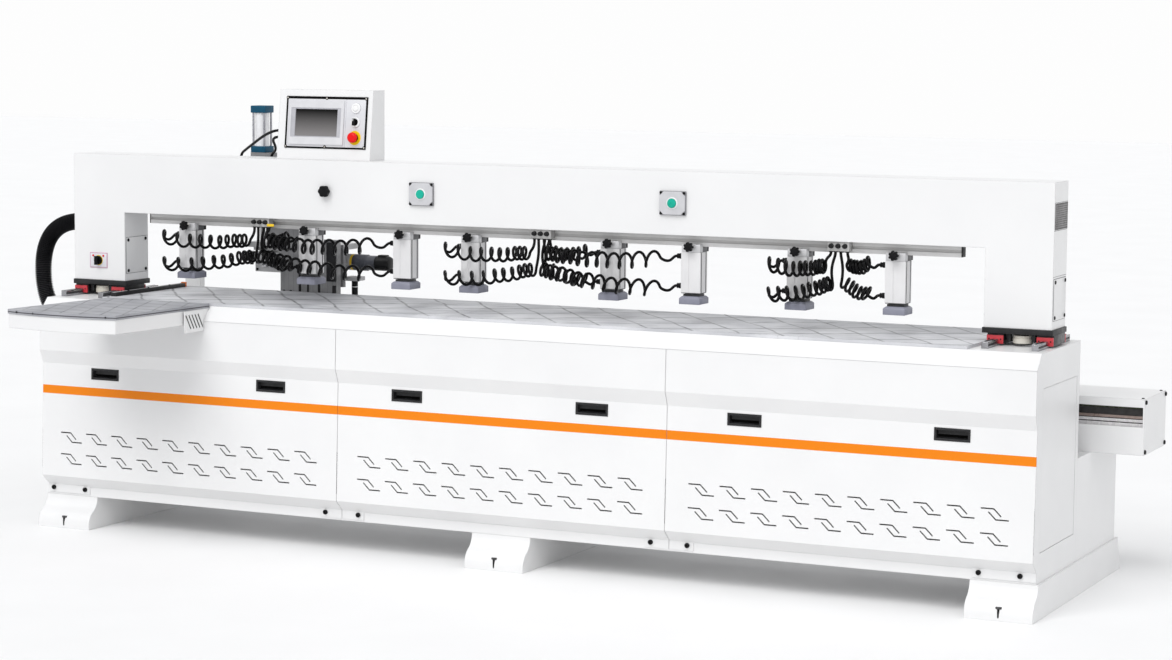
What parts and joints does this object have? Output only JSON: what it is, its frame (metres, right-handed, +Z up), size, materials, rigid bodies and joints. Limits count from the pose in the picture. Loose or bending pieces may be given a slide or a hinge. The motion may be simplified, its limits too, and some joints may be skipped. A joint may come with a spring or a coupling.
{
  "type": "line boring machine",
  "caption": "Long cabinet-bed line boring machine: a sliding portal carries air clamps and controls over the table, and a boring head travels on a beam behind it.",
  "frame": {"origin": "on the floor, under the middle of the centre foot", "axes": "+X along the bed to the operator's right, +Y from the operator to the rear beam, +Z up"},
  "size_m": [4.2035, 1.5522, 1.63],
  "materials": {
    "white_paint": "satin enamel",
    "black_steel": "satin black",
    "grey_steel": "ground",
    "rail_steel": "ground and polished",
    "aluminium": "anodised",
    "board_grey": "matt laminate",
    "black_plastic": "moulded",
    "black_rubber": "moulded",
    "hose_black": "glossy",
    "seal_red": "moulded",
    "pad_cream": "machined",
    "pad_grey": "moulded",
    "panel_grey": "satin",
    "screen_dark": "glossy",
    "button_white": "glossy",
    "button_green": "glossy",
    "button_red": "glossy",
    "motor_dark": "satin"
  },
  "bodies": {
    "bed": {"base_feet": "white_paint", "bed_frame": "white_paint", "front_panels": "white_paint", "panel_pulls": "black_plastic", "frame_bolts": "black_steel", "end_covers": "white_paint", "table_top": "board_grey", "side_fence": "black_steel", "wing_table": "board_grey", "wing_frame": "white_paint", "gantry_rails": "rail_steel", "x_axis_housing": "white_paint", "x_axis_rails": "rail_steel", "cable_conduit": "black_rubber"},
    "gantry": {"gantry_frame": "white_paint", "gantry_base_plates": "black_steel", "rail_blocks": "grey_steel", "block_seals": "seal_red", "brake_pads": "pad_cream", "column_covers": "white_paint", "clamp_rail": "aluminium", "air_manifolds": "black_plastic", "coil_hoses": "hose_black", "control_box": "white_paint", "control_panel": "panel_grey", "touch_screen": "screen_dark", "button_plates": "panel_grey", "control_cables": "black_rubber"},
    "head": {"head_saddle": "grey_steel", "head_column": "grey_steel", "lift_cylinder": "aluminium", "head_cable": "black_rubber"},
    "lift": {"lift_plate": "grey_steel"},
    "drill": {"drill_block": "aluminium", "drill_motor": "motor_dark"},
    "spindle_left": {"left_spindle": "rail_steel"},
    "spindle_right": {"right_spindle": "rail_steel"},
    "start": {"start_button": "button_white"},
    "selector": {"selector_knob": "black_plastic"},
    "stop": {"stop_button": "button_red"},
    "bench_left": {"left_button": "button_green"},
    "bench_right": {"right_button": "button_green"},
    "regulator": {"regulator_knob": "black_plastic"},
    "main_switch": {"main_switch_knob": "black_plastic"},
    "clamp_body_1": {"clamp_1": "aluminium"},
    "press_body_1": {"press_foot_1": "pad_grey"},
    "clamp_body_2": {"clamp_2": "aluminium"},
    "press_body_2": {"press_foot_2": "pad_grey"},
    "clamp_body_3": {"clamp_3": "aluminium"},
    "press_body_3": {"press_foot_3": "pad_grey"},
    "clamp_body_4": {"clamp_4": "aluminium"},
    "press_body_4": {"press_foot_4": "pad_grey"},
    "clamp_body_5": {"clamp_5": "aluminium"},
    "press_body_5": {"press_foot_5": "pad_grey"},
    "clamp_body_6": {"clamp_6": "aluminium"},
    "press_body_6": {"press_foot_6": "pad_grey"},
    "clamp_body_7": {"clamp_7": "aluminium"},
    "press_body_7": {"press_foot_7": "pad_grey"},
    "clamp_body_8": {"clamp_8": "aluminium"},
    "press_body_8": {"press_foot_8": "pad_grey"}
  },
  "joints": [
    {"name": "gantry_slide", "type": "slide", "parent": "bed", "child": "gantry", "axis": [0, 1, 0], "range_m": [-0.1, 0.1], "deforming": ["cable_conduit"]},
    {"name": "head_traverse", "type": "slide", "parent": "bed", "child": "head", "axis": [1, 0, 0], "range_m": [-0.4, 2.6]},
    {"name": "head_lift", "type": "slide", "parent": "head", "child": "lift", "axis": [0, 0, 1], "range_m": [-0.07, 0], "deforming": ["head_cable"]},
    {"name": "drill_feed", "type": "slide", "parent": "lift", "child": "drill", "axis": [0, -1, 0], "range_m": [0, 0.045]},
    {"name": "left_spin", "type": "hinge", "parent": "drill", "child": "spindle_left", "pos_m": [-1.326, 0.139, 0.955], "axis": [0, 1, 0], "continuous": true},
    {"name": "right_spin", "type": "hinge", "parent": "drill", "child": "spindle_right", "pos_m": [-1.294, 0.139, 0.955], "axis": [0, 1, 0], "continuous": true},
    {"name": "start_press", "type": "slide", "parent": "gantry", "child": "start", "axis": [0, 0.9938, -0.1113], "range_m": [0, 0.003], "stiffness_N_per_m": 600, "springref_m": -0.001},
    {"name": "stop_press", "type": "slide", "parent": "gantry", "child": "stop", "axis": [0, 0.9938, -0.1113], "range_m": [0, 0.004], "stiffness_N_per_m": 2000, "springref_m": -0.001},
    {"name": "left_press", "type": "slide", "parent": "gantry", "child": "bench_left", "axis": [0, 1, 0], "range_m": [0, 0.004], "stiffness_N_per_m": 800, "springref_m": -0.001},
    {"name": "right_press", "type": "slide", "parent": "gantry", "child": "bench_right", "axis": [0, 1, 0], "range_m": [0, 0.004], "stiffness_N_per_m": 800, "springref_m": -0.001},
    {"name": "selector_turn", "type": "hinge", "parent": "gantry", "child": "selector", "pos_m": [-0.702, -0.2567, 1.5166], "axis": [0, -0.9938, 0.1113], "range_deg": [-45, 45]},
    {"name": "regulator_turn", "type": "hinge", "parent": "gantry", "child": "regulator", "pos_m": [-0.792, -0.3253, 1.271], "axis": [0, -1, 0], "range_deg": [-150, 150]},
    {"name": "main_switch_turn", "type": "hinge", "parent": "gantry", "child": "main_switch", "pos_m": [-1.777, -0.3263, 0.9825], "axis": [0, -1, 0], "range_deg": [0, 90]},
    {"name": "clamp_slide_1", "type": "slide", "parent": "gantry", "child": "clamp_body_1", "axis": [1, 0, 0], "range_m": [-0.07, 0.07], "deforming": ["coil_hoses"]},
    {"name": "press_stroke_1", "type": "slide", "parent": "clamp_body_1", "child": "press_body_1", "axis": [0, 0, 1], "range_m": [-0.06, 0]},
    {"name": "clamp_slide_2", "type": "slide", "parent": "gantry", "child": "clamp_body_2", "axis": [1, 0, 0], "range_m": [-0.07, 0.07], "deforming": ["coil_hoses"]},
    {"name": "press_stroke_2", "type": "slide", "parent": "clamp_body_2", "child": "press_body_2", "axis": [0, 0, 1], "range_m": [-0.06, 0]},
    {"name": "clamp_slide_3", "type": "slide", "parent": "gantry", "child": "clamp_body_3", "axis": [1, 0, 0], "range_m": [-0.07, 0.07], "deforming": ["coil_hoses"]},
    {"name": "press_stroke_3", "type": "slide", "parent": "clamp_body_3", "child": "press_body_3", "axis": [0, 0, 1], "range_m": [-0.06, 0]},
    {"name": "clamp_slide_4", "type": "slide", "parent": "gantry", "child": "clamp_body_4", "axis": [1, 0, 0], "range_m": [-0.07, 0.07], "deforming": ["coil_hoses"]},
    {"name": "press_stroke_4", "type": "slide", "parent": "clamp_body_4", "child": "press_body_4", "axis": [0, 0, 1], "range_m": [-0.06, 0]},
    {"name": "clamp_slide_5", "type": "slide", "parent": "gantry", "child": "clamp_body_5", "axis": [1, 0, 0], "range_m": [-0.07, 0.07], "deforming": ["coil_hoses"]},
    {"name": "press_stroke_5", "type": "slide", "parent": "clamp_body_5", "child": "press_body_5", "axis": [0, 0, 1], "range_m": [-0.06, 0]},
    {"name": "clamp_slide_6", "type": "slide", "parent": "gantry", "child": "clamp_body_6", "axis": [1, 0, 0], "range_m": [-0.07, 0.07], "deforming": ["coil_hoses"]},
    {"name": "press_stroke_6", "type": "slide", "parent": "clamp_body_6", "child": "press_body_6", "axis": [0, 0, 1], "range_m": [-0.06, 0]},
    {"name": "clamp_slide_7", "type": "slide", "parent": "gantry", "child": "clamp_body_7", "axis": [1, 0, 0], "range_m": [-0.07, 0.07], "deforming": ["coil_hoses"]},
    {"name": "press_stroke_7", "type": "slide", "parent": "clamp_body_7", "child": "press_body_7", "axis": [0, 0, 1], "range_m": [-0.06, 0]},
    {"name": "clamp_slide_8", "type": "slide", "parent": "gantry", "child": "clamp_body_8", "axis": [1, 0, 0], "range_m": [-0.07, 0.07], "deforming": ["coil_hoses"]},
    {"name": "press_stroke_8", "type": "slide", "parent": "clamp_body_8", "child": "press_body_8", "axis": [0, 0, 1], "range_m": [-0.06, 0]}
  ],
  "couplings": [
    {"joint": "right_spin", "follows": "left_spin", "ratio": -1}
  ]
}
